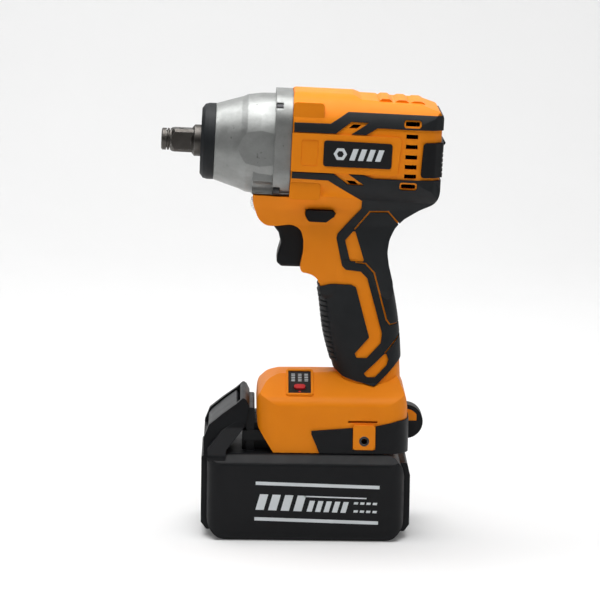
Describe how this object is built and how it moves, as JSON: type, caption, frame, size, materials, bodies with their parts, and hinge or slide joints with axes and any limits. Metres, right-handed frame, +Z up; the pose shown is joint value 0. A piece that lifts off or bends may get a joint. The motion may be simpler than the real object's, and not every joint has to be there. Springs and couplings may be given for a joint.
{
  "type": "cordless impact wrench",
  "caption": "Pistol-grip cordless impact wrench with a square drive, cast hammer case, two-part moulded body with rubber overmould, and a slide-on battery that it stands on.",
  "frame": {"origin": "centre of the battery's flat base, where the tool stands", "axes": "+Z up out of the base, -X the way the drive points (the spindle is raised 2 degrees at the nose), -Y the tool's left side"},
  "size_m": [0.1577, 0.0786, 0.2487],
  "materials": {
    "orange_plastic": "fine satin grain",
    "overmould": "matte soft-touch",
    "black_plastic": "fine grain",
    "label": "satin with a pale printed mark",
    "cast_case": "tumbled casting",
    "drive_steel": "phosphated with bright edges",
    "hard_steel": "ground",
    "screw_steel": "black oxide",
    "bronze": "sintered",
    "copper": "enamelled wire",
    "magnet": "nickel plated",
    "lamination": "varnished stack",
    "board": "solder mask",
    "clear_lens": "clear moulding",
    "red_button": "translucent moulding",
    "latch_plastic": "fine grain",
    "cell_wrap": "shrink sleeve"
  },
  "bodies": {
    "tool": {"anvil_bushing": "bronze", "bearing_bridge": "black_plastic", "belt_hook": "screw_steel", "belt_hook_screw": "screw_steel", "case_screws": "screw_steel", "control_board": "board", "foot_guard": "black_plastic", "front_bearing": "hard_steel", "gauge_panel": "label", "gear_plate": "black_plastic", "grip_rubber_left": "overmould", "grip_rubber_right": "overmould", "hammer_case": "cast_case", "hook_inserts": "screw_steel", "housing_left": "orange_plastic", "housing_right": "orange_plastic", "housing_screws": "screw_steel", "labels": "label", "light_board": "board", "light_lens": "clear_lens", "nose_bumper": "overmould", "rear_bearing": "hard_steel", "rear_cap": "black_plastic", "ring_gear": "hard_steel", "sensor_board": "board", "stator_core": "lamination", "stator_windings": "copper", "switch_body": "black_plastic", "terminal_block": "black_plastic", "trigger_spring": "hard_steel", "upper_band_left": "overmould", "upper_band_right": "overmould"},
    "anvil": {"anvil": "drive_steel", "friction_ring": "drive_steel"},
    "spindle": {"cam_shaft": "hard_steel", "planet_pins": "hard_steel", "cam_balls": "hard_steel", "spring_washer": "hard_steel", "hammer_spring": "hard_steel"},
    "hammer": {"hammer": "hard_steel"},
    "planet_1": {"planet_gear_1": "hard_steel"},
    "planet_2": {"planet_gear_2": "hard_steel"},
    "planet_3": {"planet_gear_3": "hard_steel"},
    "rotor": {"rotor_shaft": "hard_steel", "rotor_core": "lamination", "rotor_magnets": "magnet", "cooling_fan": "black_plastic"},
    "trigger": {"trigger": "black_plastic"},
    "direction_lever": {"direction_lever": "black_plastic"},
    "gauge_button": {"gauge_button": "red_button"},
    "battery": {"battery_case": "black_plastic", "battery_cover": "black_plastic", "latch_springs": "hard_steel", "battery_cells": "cell_wrap", "cell_holder": "black_plastic", "battery_board": "board", "battery_contacts": "copper", "battery_screws": "screw_steel"},
    "battery_latch": {"battery_latch": "latch_plastic"}
  },
  "joints": [
    {"name": "anvil_spin", "type": "hinge", "parent": "tool", "child": "anvil", "pos_m": [-0.05098, 0, 0.2188], "axis": [-0.9994, 0, 0.0349], "continuous": true},
    {"name": "spindle_spin", "type": "hinge", "parent": "tool", "child": "spindle", "pos_m": [-0.011, 0, 0.2174], "axis": [-0.9994, 0, 0.0349], "continuous": true},
    {"name": "rotor_spin", "type": "hinge", "parent": "tool", "child": "rotor", "pos_m": [0.02898, 0, 0.216], "axis": [-0.9994, 0, 0.0349], "continuous": true},
    {"name": "hammer_slide", "type": "slide", "parent": "spindle", "child": "hammer", "axis": [0.9994, 0, -0.0349], "range_m": [0, 0.0068], "stiffness_N_per_m": 9000, "springref_m": -0.004, "deforming": ["hammer_spring"]},
    {"name": "trigger_slide", "type": "slide", "parent": "tool", "child": "trigger", "axis": [1, 0, 0], "range_m": [0, 0.006], "stiffness_N_per_m": 900, "springref_m": -0.003, "deforming": ["trigger_spring"]},
    {"name": "direction_slide", "type": "slide", "parent": "tool", "child": "direction_lever", "axis": [0, 1, 0], "range_m": [-0.003, 0.003]},
    {"name": "gauge_press", "type": "slide", "parent": "tool", "child": "gauge_button", "axis": [0, 0.4818, -0.8763], "range_m": [0, 0.0008], "stiffness_N_per_m": 1500, "springref_m": -0.0005},
    {"name": "battery_slide", "type": "slide", "parent": "tool", "child": "battery", "axis": [-1, 0, 0], "range_m": [0, 0.15]},
    {"name": "latch_press", "type": "slide", "parent": "battery", "child": "battery_latch", "axis": [0, 0, -1], "range_m": [0, 0.004], "stiffness_N_per_m": 2500, "springref_m": -0.002, "deforming": ["latch_springs"]},
    {"name": "planet_1_spin", "type": "hinge", "parent": "spindle", "child": "planet_1", "pos_m": [0.00135, 0, 0.23018], "axis": [-0.9994, 0, 0.0349], "continuous": true},
    {"name": "planet_2_spin", "type": "hinge", "parent": "spindle", "child": "planet_2", "pos_m": [0.00066, -0.01143, 0.21039], "axis": [-0.9994, 0, 0.0349], "continuous": true},
    {"name": "planet_3_spin", "type": "hinge", "parent": "spindle", "child": "planet_3", "pos_m": [0.00066, 0.01143, 0.21039], "axis": [-0.9994, 0, 0.0349], "continuous": true}
  ],
  "couplings": [
    {"joint": "spindle_spin", "follows": "anvil_spin", "ratio": 1},
    {"joint": "rotor_spin", "follows": "anvil_spin", "ratio": 5},
    {"joint": "planet_1_spin", "follows": "anvil_spin", "ratio": -2.6667},
    {"joint": "planet_2_spin", "follows": "anvil_spin", "ratio": -2.6667},
    {"joint": "planet_3_spin", "follows": "anvil_spin", "ratio": -2.6667}
  ]
}
